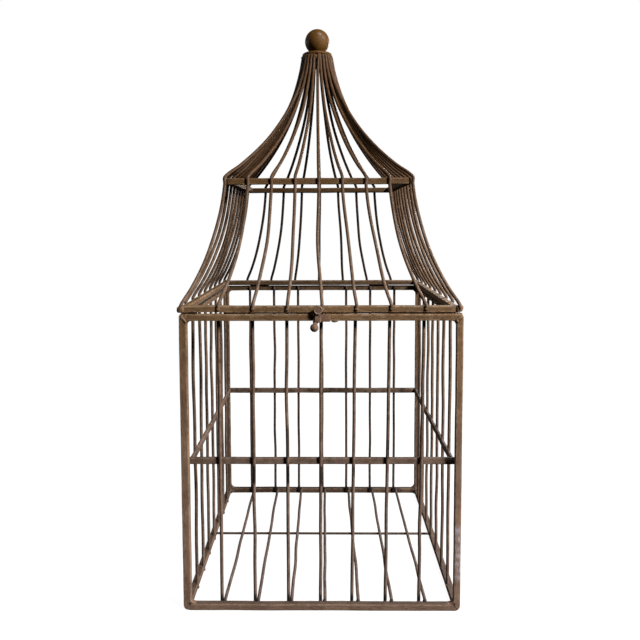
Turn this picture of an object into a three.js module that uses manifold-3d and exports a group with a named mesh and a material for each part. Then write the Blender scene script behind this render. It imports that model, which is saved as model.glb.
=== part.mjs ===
// A square wire bird cage whose tall pagoda roof is its lid.
// The roof swings back on two rod hinges, and a small lever on its front bar hooks a keeper on the body.
// Millimetres, +Z up, front towards -Y. The origin is the middle of the footprint, on the ground.

import * as THREE from "three";
import { mergeVertices } from "three/addons/utils/BufferGeometryUtils.js";
import Module from "manifold-3d";

const wasm = await Module();
wasm.setup();

// ---------------------------------------------------------------- driving dimensions

// stock
const bar = 6.5; // square bar
const wireRadius = 1.6; // round wire
const wireSides = 6;
const seam = 0.2; // air between neighbours that are welded together

// body
const bodyWidth = 280; // over the posts, both ways
const bodyHeight = 303;
const wiresPerSide = 7;
const wallWireBottom = 1.4;
const stripHeight = 6.6;
const stripThickness = 3;
const stripTop = 155.1;
const stripLap = 3; // how far the long strips run past the inner corner of the posts
const weldDepth = 0.15; // how far a wire sinks into the strip or wire it is welded to
const floorWireHeight = 6.2; // centre line
const floorWireAside = 3.5; // the floor wires lie beside the wall wires
const crossWireDepth = 12; // the cross wire lies a little behind the middle

// lid
const lidGap = 1.3; // daylight between the closed lid and the body
const lidWidth = 274;
const neckWidth = 192.4;
const neckBottom = 432.7;
const footLap = 3.2; // how far a roof wire reaches down over the lid's bar
const footRise = 0.8; // straight stretch above the bar, before the wire leans in
const footAside = 2.7; // the feet of the side wires all sit a little anticlockwise of the wall wires
const neckRise = 1.0;
const lidShift = -1.7; // the roof sits a little to the left, and leans a little to the left
const neckLean = -0.6;
const crownLean = -2.7;

// roof curve: each stretch is a quadratic curve whose middle handle is this far along
const skirtHandle = { in: 0.16, up: 0.44 };
const spireHandle = { in: 0.15, up: 0.425 };
const skirtSteps = 7;
const spireSteps = 9;

// crown
const crownRadius = 16.6; // centres of the roof wires
const wireTop = 587.3;
const capRadius = 17.6;
const capBottom = 587.8;
const capThickness = 2.9;
const capEdge = 1.2;
const spigotRadius = 14.2;
const spigotDepth = 5;
const ballRadius = 14.4;
const ballCentre = 604.7;
const roundSteps = 24;

// hinges
const hingePitches = 2.5; // distance of each hinge from the middle, in wire pitches
const barrelRadius = 3.3;
const barrelBore = 1.55;
const barrelHalf = 11;
const stapleRadius = 1.25;
const stapleHalf = 12.7;
const stapleTop = 309.5;
const stapleBend = 306.9;

// latch
const pivot = { x: -2.8, z: 308 };
const rivetRadius = 1.5;
const rivetCollar = 1.9;
const rivetHead = 4.4;
const rivetHeadThickness = 2.6;
const leverBack = 141; // distance of the lever's back face from the middle of the cage
const leverThickness = 2;
const leverPlay = 0.3;
const leverHole = 1.8;
const eyeRadius = 3.6;
const leverHalf = 2.7;
const leverLength = 14.2;
const notchDepth = 2.2;
const notchTop = 5.4;
const notchBottom = 11.6;
const knobRadius = 4.2;
const knobDrop = 17.9;
const knobOut = 2.7; // the knob stands forward of the plate, so that it passes in front of the rail
const neckRadius = 2.2;
const leverTilt = 12; // degrees; unhooked, the knob hangs to the left
const keeperThickness = 2.4;
const keeperBottom = 296;
const keeperTop = 303.7;
const keeperLeft = 0.3;
const keeperRight = 9;
const tongueTip = -1.7;
const tongueBottom = 297;
const tongueTop = 301.6;

// ---------------------------------------------------------------- worked-out dimensions

const half = bodyWidth / 2;
const inside = half - bar;
const pitch = (bodyWidth - bar) / (wiresPerSide + 1);
const lastWire = (wiresPerSide - 1) / 2;
const wallWireLine = inside - seam - wireRadius;
const wallWireTop = bodyHeight - 0.3;
const stripOut = wallWireLine - wireRadius + weldDepth;
const stripIn = stripOut - stripThickness;
const crossWireHeight = floorWireHeight - 2 * wireRadius + 2 * weldDepth;

const lidBottom = bodyHeight + lidGap;
const lidTop = lidBottom + bar;
const lidHalf = lidWidth / 2;
const neckHalf = neckWidth / 2;
const neckTop = neckBottom + bar;
const standOff = seam + wireRadius;

const hingeAway = half + seam + barrelRadius;
const hingeHeight = bodyHeight + lidGap / 2;

// ---------------------------------------------------------------- materials

const frameIron = new THREE.MeshStandardMaterial({ color: 0x6b4c33, roughness: 0.78, metalness: 0.35 });
const wireIron = new THREE.MeshStandardMaterial({ color: 0x6a5140, roughness: 0.72, metalness: 0.35 });
const crownIron = new THREE.MeshStandardMaterial({ color: 0x6d4a26, roughness: 0.7, metalness: 0.35 });
const latchIron = new THREE.MeshStandardMaterial({ color: 0x7c5a4c, roughness: 0.66, metalness: 0.4 });

// ---------------------------------------------------------------- shared shapes

function at(x, y, z) {
  return new THREE.Vector3(x, y, z);
}

function block([x0, x1], [y0, y1], [z0, z1]) {
  const geometry = new THREE.BoxGeometry(x1 - x0, y1 - y0, z1 - z0);
  return geometry.translate((x0 + x1) / 2, (y0 + y1) / 2, (z0 + z1) / 2);
}

function rod(from, to, radius, sides = wireSides) {
  const along = to.clone().sub(from);
  const turn = new THREE.Quaternion();
  turn.setFromUnitVectors(at(0, 1, 0), along.clone().normalize());
  const geometry = new THREE.CylinderGeometry(radius, radius, along.length(), sides);
  const middle = from.clone().lerp(to, 0.5);
  return geometry.applyQuaternion(turn).translate(middle.x, middle.y, middle.z);
}

function ball(centre, radius, around = 12, down = 8) {
  const geometry = new THREE.SphereGeometry(radius, around, down);
  return geometry.translate(centre.x, centre.y, centre.z);
}

// A round piece on the Z axis, from an outline of [radius, height] pairs.
function turned(outline, around = roundSteps) {
  const points = outline.map(([radius, height]) => new THREE.Vector2(radius, height));
  return new THREE.LatheGeometry(points, around).rotateX(Math.PI / 2);
}

// A plate cut to an outline in X and Z, whose back face is at y = 0 and front face at y = -thickness.
function plate(shape, thickness, curveSegments = 8) {
  const geometry = new THREE.ExtrudeGeometry(shape, { depth: thickness, bevelEnabled: false, curveSegments });
  return geometry.rotateX(Math.PI / 2);
}

// A square of bar, welded at its corners.
function squareFrame(halfWidth, bottom) {
  const shape = squareOutline(new THREE.Shape(), halfWidth);
  shape.holes.push(squareOutline(new THREE.Path(), halfWidth - bar));
  const geometry = new THREE.ExtrudeGeometry(shape, { depth: bar, bevelEnabled: false });
  return geometry.translate(0, 0, bottom);
}

function squareOutline(path, halfWidth) {
  path.moveTo(-halfWidth, -halfWidth);
  path.lineTo(halfWidth, -halfWidth);
  path.lineTo(halfWidth, halfWidth);
  path.lineTo(-halfWidth, halfWidth);
  path.closePath();
  return path;
}

// A wire through a list of points, straight between them and mitred at each one.
class BentPath extends THREE.Curve {
  constructor(points) {
    super();
    this.points = points;
  }

  getPointAt(u) {
    const place = u * (this.points.length - 1);
    const first = Math.min(Math.floor(place), this.points.length - 2);
    return this.points[first].clone().lerp(this.points[first + 1], place - first);
  }

  getTangentAt(u) {
    const last = this.points.length - 1;
    const here = Math.round(u * last);
    const tangent = at(0, 0, 0);
    if (here > 0) {
      tangent.add(this.points[here].clone().sub(this.points[here - 1]).normalize());
    }
    if (here < last) {
      tangent.add(this.points[here + 1].clone().sub(this.points[here]).normalize());
    }
    return tangent.normalize();
  }
}

function bentWire(points, radius = wireRadius) {
  const section = new THREE.Shape();
  section.absarc(0, 0, radius, 0, 2 * Math.PI, false);
  return new THREE.ExtrudeGeometry(section, {
    steps: points.length - 1,
    curveSegments: wireSides / 2,
    extrudePath: new BentPath(points),
  });
}

// ---------------------------------------------------------------- joining and cutting

function solid(geometry) {
  const bare = geometry.clone();
  bare.deleteAttribute("normal");
  bare.deleteAttribute("uv");
  const merged = mergeVertices(bare);
  const mesh = new wasm.Mesh({
    numProp: 3,
    vertProperties: Float32Array.from(merged.attributes.position.array),
    triVerts: Uint32Array.from(merged.index.array),
  });
  return new wasm.Manifold(mesh);
}

function joined(geometries) {
  const mesh = geometries.map(solid).reduce((sum, piece) => sum.add(piece)).getMesh();
  const geometry = new THREE.BufferGeometry();
  geometry.setAttribute("position", new THREE.BufferAttribute(mesh.vertProperties, 3));
  geometry.setIndex(new THREE.BufferAttribute(mesh.triVerts, 1));
  geometry.computeVertexNormals();
  return geometry;
}

function place(group, name, geometry, material) {
  const mesh = new THREE.Mesh(geometry, material);
  mesh.name = name;
  group.add(mesh);
  return mesh;
}

// The four sides, walked anticlockwise from the front. Each is drawn as the front and then turned.
const sides = [
  { name: "front", corner: "front_left", turn: 0 },
  { name: "right", corner: "front_right", turn: Math.PI / 2 },
  { name: "back", corner: "back_right", turn: Math.PI },
  { name: "left", corner: "back_left", turn: 1.5 * Math.PI },
];

function turnedPoint(point, turn) {
  return point.applyAxisAngle(at(0, 0, 1), turn);
}

// ---------------------------------------------------------------- body

function post() {
  return block([-half, -inside], [-half, -inside], [0, bodyHeight]);
}

function rail(bottom) {
  return block([-inside + seam, inside - seam], [-half, -inside], [bottom, bottom + bar]);
}

// Upright wires stand inside the rails. The flat strip runs across inside the wires. On the front and back
// it laps behind the posts and has a weld pad there; on the other two sides it fits between those strips.
function wallGrille(isLong) {
  const pieces = [];
  const reach = isLong ? inside + stripLap : stripIn - seam;
  const height = [stripTop - stripHeight, stripTop];
  pieces.push(block([-reach, reach], [-stripOut, -stripIn], height));
  if (isLong) {
    const pad = [-inside + seam, -stripOut + weldDepth];
    pieces.push(block([-reach, -reach + stripLap], pad, height));
    pieces.push(block([reach - stripLap, reach], pad, height));
  }
  for (let count = -lastWire; count <= lastWire; count += 1) {
    const foot = at(count * pitch, -wallWireLine, wallWireBottom);
    const head = at(count * pitch, -wallWireLine, wallWireTop);
    pieces.push(rod(foot, head, wireRadius));
  }
  return joined(pieces);
}

function floorGrille() {
  const reach = inside - seam;
  const pieces = [];
  for (let count = -lastWire; count <= lastWire; count += 1) {
    const across = count * pitch + floorWireAside;
    pieces.push(rod(at(across, -reach, floorWireHeight), at(across, reach, floorWireHeight), wireRadius));
  }
  const left = at(-reach, crossWireDepth, crossWireHeight);
  const right = at(reach, crossWireDepth, crossWireHeight);
  pieces.push(rod(left, right, wireRadius));
  return joined(pieces);
}

function makeBody() {
  const body = new THREE.Group();
  for (const side of sides) {
    const quarter = new THREE.Group();
    quarter.rotation.z = side.turn;
    place(quarter, `post_${side.corner}`, post(), frameIron);
    place(quarter, `upper_rail_${side.name}`, rail(bodyHeight - bar), frameIron);
    place(quarter, `lower_rail_${side.name}`, rail(0), frameIron);
    const isLong = side.name === "front" || side.name === "back";
    place(quarter, `wall_grille_${side.name}`, wallGrille(isLong), wireIron);
    body.add(quarter);
  }
  place(body, "floor_grille", floorGrille(), wireIron);
  place(body, "latch_keeper", keeper(), latchIron);
  for (const [name, hingeX] of hingePlaces()) {
    const barrel = place(body, `hinge_barrel_${name}`, hingeBarrel(), latchIron);
    barrel.position.set(hingeX + lidShift, hingeAway, hingeHeight);
  }
  return body;
}

// ---------------------------------------------------------------- lid

function smooth(from, handle, to, steps) {
  const curve = new THREE.QuadraticBezierCurve3(from, handle, to);
  return curve.getPoints(steps);
}

// One roof wire of the front side, from its foot on the lid's bar, over the outside of the neck frame, to
// the crown. Step 0 is the wire at the left corner and the middle step is the one above the latch.
function roofWire(step, turn) {
  const isCorner = step === 0;
  const middle = (wiresPerSide + 1) / 2;
  const along = step / middle - 1;
  const off = isCorner ? standOff * Math.SQRT1_2 : standOff;
  const footAcross = isCorner ? -lidHalf - off : along * middle * pitch + footAside;
  const neckAcross = isCorner ? -neckHalf - off : along * (neckHalf + standOff);
  const angle = along * (Math.PI / 4);

  const footOut = turnedPoint(at(footAcross, -lidHalf - off, 0), turn);
  const neckOut = turnedPoint(at(neckAcross, -neckHalf - off, 0), turn);
  const crownX = crownRadius * Math.sin(angle);
  const crownY = -crownRadius * Math.cos(angle);
  const crownOut = turnedPoint(at(crownX, crownY, 0), turn);
  neckOut.x += neckLean;
  crownOut.x += crownLean;

  const foot = footOut.clone().setZ(lidTop - footLap);
  const skirtStart = footOut.clone().setZ(lidTop + footRise);
  const neckUnder = neckOut.clone().setZ(neckBottom + 1);
  const neckOver = neckOut.clone().setZ(neckTop + neckRise);
  const crown = crownOut.clone().setZ(wireTop);

  const skirtMiddle = neckOut.clone().lerp(footOut, skirtHandle.in);
  skirtMiddle.z = THREE.MathUtils.lerp(skirtStart.z, neckUnder.z, skirtHandle.up);
  const spireMiddle = crownOut.clone().lerp(neckOut, spireHandle.in);
  spireMiddle.z = THREE.MathUtils.lerp(neckOver.z, crown.z, spireHandle.up);

  return bentWire([
    foot,
    ...smooth(skirtStart, skirtMiddle, neckUnder, skirtSteps),
    ...smooth(neckOver, spireMiddle, crown, spireSteps),
  ]);
}

function crownCap() {
  const top = capBottom + capThickness;
  return turned([
    [0, capBottom - spigotDepth],
    [spigotRadius, capBottom - spigotDepth],
    [spigotRadius, capBottom],
    [capRadius, capBottom],
    [capRadius, top - capEdge],
    [capRadius - capEdge, top],
    [0, top],
  ]);
}

// The ball has a small flat ground on its underside, where it sits on the cap.
function finialBall() {
  const flat = capBottom + capThickness + 2 * seam;
  const from = Math.asin((flat - ballCentre) / ballRadius);
  const steps = 12;
  const outline = [[0, flat]];
  for (let step = 0; step < steps; step += 1) {
    const angle = THREE.MathUtils.lerp(from, Math.PI / 2, step / steps);
    outline.push([ballRadius * Math.cos(angle), ballCentre + ballRadius * Math.sin(angle)]);
  }
  outline.push([0, ballCentre + ballRadius]);
  return turned(outline);
}

function makeLid() {
  const lid = new THREE.Group();
  lid.position.x = lidShift;
  place(lid, "lid_base_frame", squareFrame(lidHalf, lidBottom), frameIron);
  place(lid, "lid_neck_frame", squareFrame(neckHalf, neckBottom), frameIron).position.x = neckLean;
  for (const side of sides) {
    place(lid, `roof_wire_corner_${side.corner}`, roofWire(0, side.turn), wireIron);
    for (let step = 1; step <= wiresPerSide; step += 1) {
      place(lid, `roof_wire_${side.name}_${step}`, roofWire(step, side.turn), wireIron);
    }
  }
  place(lid, "crown_cap", crownCap(), crownIron).position.x = crownLean;
  place(lid, "finial_ball", finialBall(), crownIron).position.x = crownLean;
  for (const [name, hingeX] of hingePlaces()) {
    place(lid, `hinge_staple_${name}`, hingeStaple(), latchIron).position.x = hingeX;
  }
  return lid;
}

// ---------------------------------------------------------------- hinges

function hingePlaces() {
  return [
    ["left", -hingePitches * pitch - footAside],
    ["right", hingePitches * pitch - footAside],
  ];
}

// A short tube along X.
function hingeBarrel() {
  const tube = turned([
    [barrelBore, -barrelHalf],
    [barrelRadius, -barrelHalf],
    [barrelRadius, barrelHalf],
    [barrelBore, barrelHalf],
    [barrelBore, -barrelHalf],
  ], 16);
  return tube.rotateY(Math.PI / 2);
}

// A rod that runs through the barrel and is bent up at both ends against the back of the lid's bar.
function hingeStaple() {
  const legLine = lidHalf + seam + stapleRadius;
  const corners = [
    at(-stapleHalf, legLine, stapleTop),
    at(-stapleHalf, legLine, stapleBend),
    at(-stapleHalf, hingeAway, hingeHeight),
    at(stapleHalf, hingeAway, hingeHeight),
    at(stapleHalf, legLine, stapleBend),
    at(stapleHalf, legLine, stapleTop),
  ];
  const pieces = [];
  for (let index = 1; index < corners.length; index += 1) {
    pieces.push(rod(corners[index - 1], corners[index], stapleRadius, 8));
    if (index > 1) {
      pieces.push(ball(corners[index - 1], stapleRadius, 8, 6));
    }
  }
  return joined(pieces);
}

// ---------------------------------------------------------------- latch

// Shank, collar and round head on one rivet. It stands out from the lid's front bar, along -Y.
function rivet() {
  const collarFront = leverBack - leverPlay;
  const headBack = leverBack + leverThickness + leverPlay;
  const headFront = headBack + rivetHeadThickness;
  const outline = turned([
    [0, lidHalf + seam],
    [rivetCollar, lidHalf + seam],
    [rivetCollar, collarFront],
    [rivetRadius, collarFront],
    [rivetRadius, headBack],
    [rivetHead, headBack],
    [rivetHead, headFront - 0.6],
    [rivetHead - 0.6, headFront],
    [0, headFront],
  ], 20);
  return outline.rotateX(Math.PI / 2);
}

// Hanging straight down from the pivot: an eye, a plate with a notch in its right edge, a neck and a knob.
function lever() {
  const shape = new THREE.Shape();
  const eyeAngle = Math.asin(leverHalf / eyeRadius) - Math.PI / 2;
  shape.absarc(0, 0, eyeRadius, eyeAngle, Math.PI - eyeAngle, false);
  shape.lineTo(-leverHalf, -leverLength + 1);
  shape.lineTo(-leverHalf + 1, -leverLength);
  shape.lineTo(leverHalf - 1, -leverLength);
  shape.lineTo(leverHalf, -leverLength + 1);
  shape.lineTo(leverHalf, -notchBottom);
  shape.lineTo(leverHalf - notchDepth, -notchBottom);
  shape.lineTo(leverHalf - notchDepth, -notchTop);
  shape.lineTo(leverHalf, -notchTop);
  const hole = new THREE.Path();
  hole.absarc(0, 0, leverHole, 0, 2 * Math.PI, true);
  shape.holes.push(hole);

  const centre = at(0, -leverThickness / 2 - knobOut, -knobDrop);
  const neckStart = at(0, -leverThickness / 2, -leverLength + neckRadius / 2);
  return joined([
    plate(shape, leverThickness),
    rod(neckStart, centre, neckRadius, 12),
    ball(centre, knobRadius, 16, 12),
  ]);
}

// A plate welded on the front of the upper rail, with a tongue that the lever's notch slips over.
function keeper() {
  const shape = new THREE.Shape();
  shape.moveTo(tongueTip, tongueBottom);
  shape.lineTo(keeperLeft, tongueBottom);
  shape.lineTo(keeperLeft, keeperBottom);
  shape.lineTo(keeperRight, keeperBottom);
  shape.lineTo(keeperRight, keeperTop);
  shape.lineTo(keeperLeft, keeperTop);
  shape.lineTo(keeperLeft, tongueTop);
  shape.lineTo(tongueTip, tongueTop);
  shape.closePath();
  return plate(shape, keeperThickness).translate(0, -half - seam, 0);
}

function makeLatch() {
  const latch = new THREE.Group();
  latch.position.set(pivot.x, 0, pivot.z);
  place(latch, "latch_rivet", rivet(), latchIron);
  const swung = place(latch, "latch_lever", lever(), latchIron);
  swung.position.y = -leverBack;
  swung.rotation.y = THREE.MathUtils.degToRad(leverTilt);
  return latch;
}

// ---------------------------------------------------------------- the whole cage

const cage = new THREE.Group();
cage.add(makeBody(), makeLid(), makeLatch());

export default cage;
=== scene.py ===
"""A rusted square wire bird cage with a pagoda roof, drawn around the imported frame.

Everything is in metres, +Z up, with the front towards -Y. Each CAD node is replaced by a finer piece: bars
get rounded, worn edges, wires get a round section and the slight bends of hand work, and welds get beads.
"""

import math

import bmesh
import bpy
import numpy as np
from mathutils import Matrix, Vector


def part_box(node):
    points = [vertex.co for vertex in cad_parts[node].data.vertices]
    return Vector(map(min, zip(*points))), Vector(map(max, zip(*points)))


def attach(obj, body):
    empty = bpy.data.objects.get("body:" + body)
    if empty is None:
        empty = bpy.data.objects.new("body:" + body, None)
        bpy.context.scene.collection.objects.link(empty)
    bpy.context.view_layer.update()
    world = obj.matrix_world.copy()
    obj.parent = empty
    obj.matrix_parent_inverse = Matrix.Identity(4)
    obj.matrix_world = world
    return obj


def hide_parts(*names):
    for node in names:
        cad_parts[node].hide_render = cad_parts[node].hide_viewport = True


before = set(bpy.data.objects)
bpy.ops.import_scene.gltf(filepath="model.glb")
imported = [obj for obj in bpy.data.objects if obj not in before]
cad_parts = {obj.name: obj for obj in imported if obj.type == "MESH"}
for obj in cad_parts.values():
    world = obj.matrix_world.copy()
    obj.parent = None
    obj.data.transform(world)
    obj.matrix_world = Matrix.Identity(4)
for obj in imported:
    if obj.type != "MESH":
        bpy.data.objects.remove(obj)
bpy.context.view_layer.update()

# ---------------------------------------------------------------- sizes

MM = 0.001
WIRES_PER_SIDE = 7
WIRE_SIDES = 12
WIRE_RADIUS = 1.75 * MM
EDGE_RADIUS = 0.5 * MM
CORNER_RADIUS = 5.5 * MM  # the lower outer corners of the body are ground round
TOP_CORNER_RADIUS = 1.8 * MM
RIGHT_TOP_CORNER_RADIUS = 1.7 * TOP_CORNER_RADIUS
THICKER_POST = 1.2 * MM  # the post at the front left is of slightly thicker bar
RAIL_LAP = 0.8 * MM  # how far a rail runs into the weld at the post
BAR_SPACING = 1.3 * MM  # between the rings of points along a bar
WIRE_SPACING = 3 * MM
WIRE_END = 0.5 * MM  # how far back the end of a wire or strip is rounded
RAIL_END = 0.1 * MM
ON_FACE = 0.1 * MM  # a point this near to a face of a bar counts as lying on it
NEAR_EDGE = 0.6 * MM  # and this near to two of them as lying on the edge between them
STRIP_THICKNESS = 3 * MM
STRIP_HEIGHT = 6.9 * MM
STRIP_TOP = 154.9 * MM
STRIP_EDGE_RADIUS = 0.6 * MM
STRIP_SPACING = 1.5 * MM
FLOOR_WIRES_ASIDE = 3.2 * MM
CROSS_WIRE_PLACE = 9.5 * MM
CROSS_WIRE_RADIUS = 1.35 * MM
FRAME_SPACING = 1.4 * MM
ROOF_SPACING = 2.5 * MM
PRESSED_AT_NECK = 1.3 * MM  # how far the front roof wires are let into the lid's bars
PRESSED_AT_FOOT = 1.7 * MM
LID_BOW = 0.5 * MM  # the lid's front bar is bent up a little near its left end
LID_BOW_PLACE = -0.11
LID_BOW_REACH = 0.016
LEVER_FACE = -0.1437
LEVER_PLATE_LOW = 0.2957
LEVER_PLATE_HIGH = 0.3031
FLOOR_RADIUS = 0.7  # of the room

# Weld metal that rounds out the inner corners of the body, by side.
FILLETS = {"front": 3.4 * MM, "right": 3 * MM, "back": 6 * MM, "left": 3 * MM}
FRONT_FILLET_GROWTH = 1.75  # for the fillets that are seen from the front
UPPER_PLAN_FILLET = 3 * MM  # plan fillets lie flat, in the corners seen from above
BACK_PLAN_FILLET = 7 * MM

# Walls are counted from the front, anticlockwise as seen from above.
WIRES_OUT = {1: 2.9 * MM, 3: 2.7 * MM}  # how far the upright wires of a wall are set outwards
FEET_UP = {1: 3.2 * MM}  # how much higher the upright wires of a wall begin
STRIP_OUT = {1: 4 * MM, 3: 4 * MM}  # how far the strip of a wall is set outwards
STRIP_RISE = 1.8 * MM  # how far the side strips climb from the front to the back strip

# How far the feet of some upright wires stand to the left of their tops, by wall and wire.
LEANS = {(0, 0): 1.5 * MM, (0, 1): 3.6 * MM, (0, 2): 3.6 * MM, (0, 3): 3.4 * MM}

# Stretches of the front wires that are painted black: wire, from, to and how strongly.
BLACK_WIRE_STRETCHES = [
    (-2, 0.131, 0.147, 0.95),
    (-2, 0.156, 0.180, 0.45),
    (-1, 0.131, 0.147, 0.95),
    (-1, 0.158, 0.186, 0.7),
    (0, 0.130, 0.147, 0.9),
    (1, 0.139, 0.147, 0.9),
    (2, 0.157, 0.174, 0.85),
]

# Roof wires that were bent further than the rest: to the right, half way up the skirt.
BENT = {
    "roof_wire_front_4": -2.0 * MM,
    "roof_wire_front_5": 2.4 * MM,
    "roof_wire_front_6": 1.6 * MM,
    "roof_wire_back_3": 1.9 * MM,
}

# How far the top or the foot of a roof wire is pushed to the right.
TOPS_ASIDE = {"roof_wire_front_4": 1.8 * MM}
FEET_ASIDE = {"roof_wire_corner_front_left": 1.6 * MM}

# Where the black ridges under the lid's bars begin and end, by side: painted shade that fills the gap under
# the lid.
RIDGES = {0: [(-0.131, -0.1215), (-0.095, 0.132)], 1: [(-0.13, 0.13)], 3: [(-0.13, 0.13)]}
RIDGE_RADIUS = 0.77 * MM
RIDGE_END = 0.6 * MM

# The pale scuffs on the right-hand front post, and the specks on the ball, across and up in millimetres.
SCUFF_HEIGHTS = (0.036, 0.043, 0.05, 0.058, 0.066, 0.075, 0.084)
SCUFF_LINE = 0.1375
BALL_SPECKS = ((3, 5), (5.5, 3.5), (6.5, 1))

SIDES = [("front", "front_left"), ("right", "front_right"), ("back", "back_right"), ("left", "back_left")]

post_low, post_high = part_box("post_front_left")
grille_low, grille_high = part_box("wall_grille_front")
floor_low, floor_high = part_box("floor_grille")
lid_low, lid_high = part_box("lid_base_frame")
neck_low, neck_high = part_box("lid_neck_frame")

BAR = post_high.x - post_low.x
HALF = -post_low.x
INSIDE = HALF - BAR
TOP = post_high.z
PITCH = (2 * HALF - BAR) / (WIRES_PER_SIDE + 1)
STEPS = range(-(WIRES_PER_SIDE // 2), WIRES_PER_SIDE // 2 + 1)
WALL_LINE = -(grille_low.y + WIRE_RADIUS)  # how far the wall wires stand from the middle
LID_HALF = (lid_high.x - lid_low.x) / 2
LID_MIDDLE = (lid_high.x + lid_low.x) / 2
NECK_HALF = (neck_high.x - neck_low.x) / 2
NECK_MIDDLE = (neck_high.x + neck_low.x) / 2

# ---------------------------------------------------------------- camera


def make_camera():
    """Straight in front, a little above the lid's bar, looking slightly down."""
    data = bpy.data.cameras.new("camera")
    data.sensor_width = 36
    data.lens = 34.707
    data.shift_x = 0.00297
    data.shift_y = -0.08886
    data.clip_start = 0.01
    yaw, pitch, roll = 0.01028, 0.06614, 0.003147
    right = Vector((math.cos(yaw), math.sin(yaw), 0))
    forward = Vector((-math.sin(yaw) * math.cos(pitch), math.cos(yaw) * math.cos(pitch), -math.sin(pitch)))
    above = right.cross(forward)
    image_right = math.cos(roll) * right - math.sin(roll) * above
    image_up = math.sin(roll) * right + math.cos(roll) * above
    camera = bpy.data.objects.new("camera", data)
    turn = Matrix((image_right, image_up, -forward)).transposed()
    camera.matrix_world = Matrix.Translation((0.00348, -0.74119, 0.39324)) @ turn.to_4x4()
    bpy.context.scene.collection.objects.link(camera)
    bpy.context.scene.camera = camera


make_camera()

# ---------------------------------------------------------------- skins


RIPPLE_WAVES = 12


def ripple(points, wavelength, depth, seed):
    """A smooth wavy displacement for each point, about depth metres deep."""
    draw = np.random.default_rng(seed)
    waves = draw.normal(size=(RIPPLE_WAVES, 3))
    waves *= (2 * math.pi / wavelength) / np.linalg.norm(waves, axis=1, keepdims=True)
    waves *= draw.uniform(0.6, 1.7, size=(RIPPLE_WAVES, 1))
    phases = draw.uniform(0, 2 * math.pi, size=(RIPPLE_WAVES, 3))
    angles = np.asarray(points) @ waves.T
    return 0.6 * depth * np.sin(angles[:, :, None] + phases).sum(axis=1) / math.sqrt(RIPPLE_WAVES) * 2


class Skin:
    """The vertices, faces and surface marks of one piece.

    grain is where a point lies along and across its bar or wire; the wear value is 1 on a rubbed edge and
    also holds the painted highlights, and the soot value is how blackened a point is before any weld is
    counted, by soot and by painted shade.
    """

    def __init__(self):
        self.points = []
        self.grain = []
        self.wear_and_highlight = []
        self.soot_and_shade = []
        self.faces = []
        self.count = 0

    def loft(self, rings, grain, wear_and_highlight, is_loop=False, soot_and_shade=0.0):
        """Skins a row of rings of equal size, and caps both ends unless the row is a loop."""
        rows, around = rings.shape[:2]
        index = self.count + np.arange(rows * around).reshape(rows, around)
        following = np.roll(index, -1, axis=1)
        for row in range(rows if is_loop else rows - 1):
            after = (row + 1) % rows
            quads = np.stack([index[row], following[row], following[after], index[after]], axis=1)
            self.faces += quads.tolist()
        if not is_loop:
            self.faces.append(index[0][::-1].tolist())
            self.faces.append(index[-1].tolist())
        self.points.append(rings.reshape(-1, 3))
        self.grain.append(grain.reshape(-1, 3))
        self.wear_and_highlight.append(np.broadcast_to(wear_and_highlight, (rows, around)).reshape(-1))
        self.soot_and_shade.append(np.broadcast_to(soot_and_shade, (rows, around)).reshape(-1))
        self.count += rows * around

    def sweep(self, path, outline, wear_and_highlight, up, rounding, offset=0.0, soot_and_shade=0.0):
        """Carries an outline along a path, with rounded ends. up is the outline's second direction."""
        path = np.asarray(path, float)
        tangent = np.gradient(path, axis=0)
        tangent /= np.linalg.norm(tangent, axis=1, keepdims=True)
        across = np.cross(tangent, np.asarray(up, float))
        across /= np.linalg.norm(across, axis=1, keepdims=True)
        second = np.cross(across, tangent)
        steps = np.linalg.norm(np.diff(path, axis=0), axis=1)
        along = np.concatenate([[0], np.cumsum(steps)])
        size = np.abs(outline).max()
        gap = np.minimum(along, along[-1] - along)
        short = np.clip(rounding - gap, 0, rounding)
        scale = 1 - (rounding - np.sqrt(rounding**2 - short**2)) / size
        ring = outline[None] * scale[:, None, None]
        rings = path[:, None] + ring[..., :1] * across[:, None] + ring[..., 1:] * second[:, None]
        grain = np.empty(rings.shape)
        grain[..., 0] = along[:, None] + offset
        grain[..., 1:] = ring + offset
        self.loft(rings, grain, wear_and_highlight, soot_and_shade=soot_and_shade)

    def all_points(self):
        return np.concatenate(self.points)


def stations(length, spacing, rounding):
    """Distances along a bar or wire: close together in its rounded ends, even in between."""
    ends = rounding * np.array([0, 0.08, 0.3, 0.6])
    count = max(2, round((length - 2 * rounding) / spacing) + 1)
    middle = np.linspace(rounding, length - rounding, count)
    return np.concatenate([ends, middle, (length - ends)[::-1]])


def straight(start, end, spacing, rounding):
    """Points on the line from start to end."""
    start, end = np.asarray(start, float), np.asarray(end, float)
    length = np.linalg.norm(end - start)
    return start + (end - start) * (stations(length, spacing, rounding) / length)[:, None]


def rounded_outline(width, height, radius=EDGE_RADIUS):
    """A rectangle with rounded corners, and how pale each of its points is: worn, with a painted highlight,
    on the rounded edges.
    """
    points = []
    wear_and_highlight = []
    arc = np.linspace(0, math.pi / 2, 4)
    corners = [(1, 1, 0), (-1, 1, 1), (-1, -1, 2), (1, -1, 3)]
    for number, (sign_x, sign_y, quarter) in enumerate(corners):
        centre = np.array([sign_x * (width / 2 - radius), sign_y * (height / 2 - radius)])
        angles = arc + quarter * math.pi / 2
        corner = centre + radius * np.stack([np.cos(angles), np.sin(angles)], axis=1)
        if points:
            add_side(points, wear_and_highlight, points[-1], corner[0])
        points += list(corner)
        wear_and_highlight += [1.0] * len(corner)
    add_side(points, wear_and_highlight, points[-1], points[0])
    return np.array(points), np.array(wear_and_highlight)


def add_side(points, wear_and_highlight, start, end):
    """Adds three unworn points between two corners."""
    for share in (0.25, 0.5, 0.75):
        points.append(start + (end - start) * share)
        wear_and_highlight.append(0.0)


REAR_ANGLE = 0.5  # where on an upright wire's outline its rear left side lies, in radians


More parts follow.
